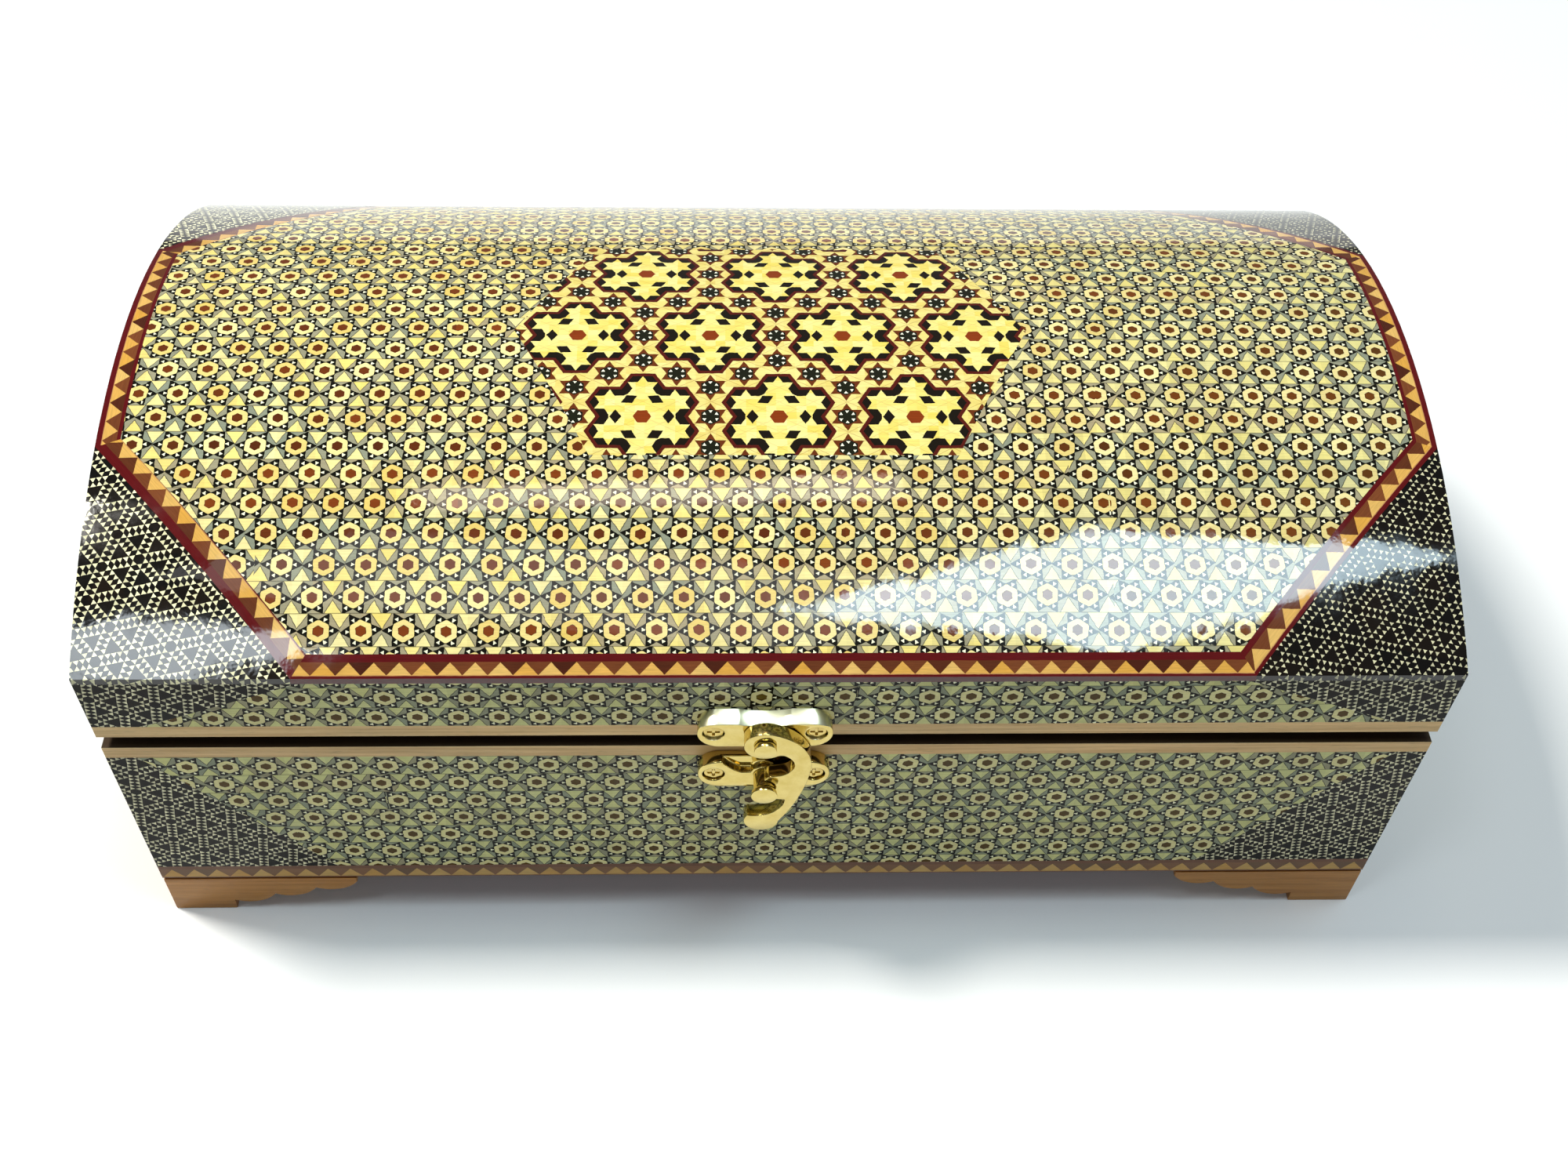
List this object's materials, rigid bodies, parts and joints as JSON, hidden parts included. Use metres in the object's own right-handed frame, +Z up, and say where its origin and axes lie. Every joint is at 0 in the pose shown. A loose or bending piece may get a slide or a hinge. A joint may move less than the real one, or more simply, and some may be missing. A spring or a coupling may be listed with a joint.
{
  "type": "inlaid jewellery box",
  "caption": "Domed wooden jewellery box with star mosaic veneer, scalloped bracket feet, velvet lining, a lid on stop hinges and a brass swing-hook clasp.",
  "frame": {"origin": "on the ground under the middle of the chest", "axes": "+X to the right along the box's length, +Y to the back where the hinges are, +Z up"},
  "size_m": [0.276, 0.1671, 0.1128],
  "materials": {
    "khatam_panel": "star mosaic veneer under gloss lacquer",
    "zigzag_strip": "triangle border strip under gloss lacquer",
    "dark_mosaic": "black mosaic with cream triangles under gloss lacquer",
    "medallion_mosaic": "rosette mosaic under gloss lacquer",
    "rim_wood": "satin lacquer",
    "foot_wood": "satin lacquer",
    "board_wood": "plain",
    "velvet": "short pile",
    "felt": "felt",
    "brass": "polished",
    "screw_brass": "polished"
  },
  "bodies": {
    "base": {"base_board_back": "board_wood", "base_board_front": "board_wood", "base_board_left": "board_wood", "base_board_right": "board_wood", "base_border": "zigzag_strip", "base_bottom_board": "board_wood", "base_felt": "felt", "base_khatam_back": "khatam_panel", "base_khatam_front": "khatam_panel", "base_khatam_left": "khatam_panel", "base_khatam_right": "khatam_panel", "base_lining_back": "velvet", "base_lining_front": "velvet", "base_lining_left": "velvet", "base_lining_right": "velvet", "base_rim": "rim_wood", "clasp_keeper_plate": "brass", "clasp_keeper_post": "brass", "clasp_keeper_screws": "screw_brass", "floor_cushion": "velvet", "foot_back_left_end_board": "foot_wood", "foot_back_left_long_board": "foot_wood", "foot_back_right_end_board": "foot_wood", "foot_back_right_long_board": "foot_wood", "foot_front_left_end_board": "foot_wood", "foot_front_left_long_board": "foot_wood", "foot_front_right_end_board": "foot_wood", "foot_front_right_long_board": "foot_wood", "hinge_base_screws": "screw_brass", "hinge_left_base_leaf": "brass", "hinge_left_pin": "brass", "hinge_right_base_leaf": "brass", "hinge_right_pin": "brass"},
    "lid": {"clasp_lid_screws": "screw_brass", "clasp_rivet": "brass", "clasp_top_plate": "brass", "hinge_left_lid_leaf": "brass", "hinge_lid_screws": "screw_brass", "hinge_right_lid_leaf": "brass", "lid_board_back": "board_wood", "lid_board_front": "board_wood", "lid_board_left": "board_wood", "lid_board_right": "board_wood", "lid_border": "zigzag_strip", "lid_corners": "dark_mosaic", "lid_dome_board": "board_wood", "lid_field": "khatam_panel", "lid_khatam_back": "khatam_panel", "lid_khatam_front": "khatam_panel", "lid_khatam_left": "khatam_panel", "lid_khatam_right": "khatam_panel", "lid_lining_back": "velvet", "lid_lining_dome": "velvet", "lid_lining_front": "velvet", "lid_lining_left": "velvet", "lid_lining_right": "velvet", "lid_medallion": "medallion_mosaic", "lid_rim": "rim_wood"},
    "hook": {"clasp_hook": "brass"}
  },
  "joints": [
    {"name": "lid_hinge", "type": "hinge", "parent": "base", "child": "lid", "pos_m": [0, 0.07932, 0.0676], "axis": [-1, 0, 0], "range_deg": [0, 100]},
    {"name": "hook_swing", "type": "hinge", "parent": "lid", "child": "hook", "pos_m": [-0.0022, -0.0774, 0.0744], "axis": [0, -0.995, -0.1], "range_deg": [0, 110]}
  ]
}
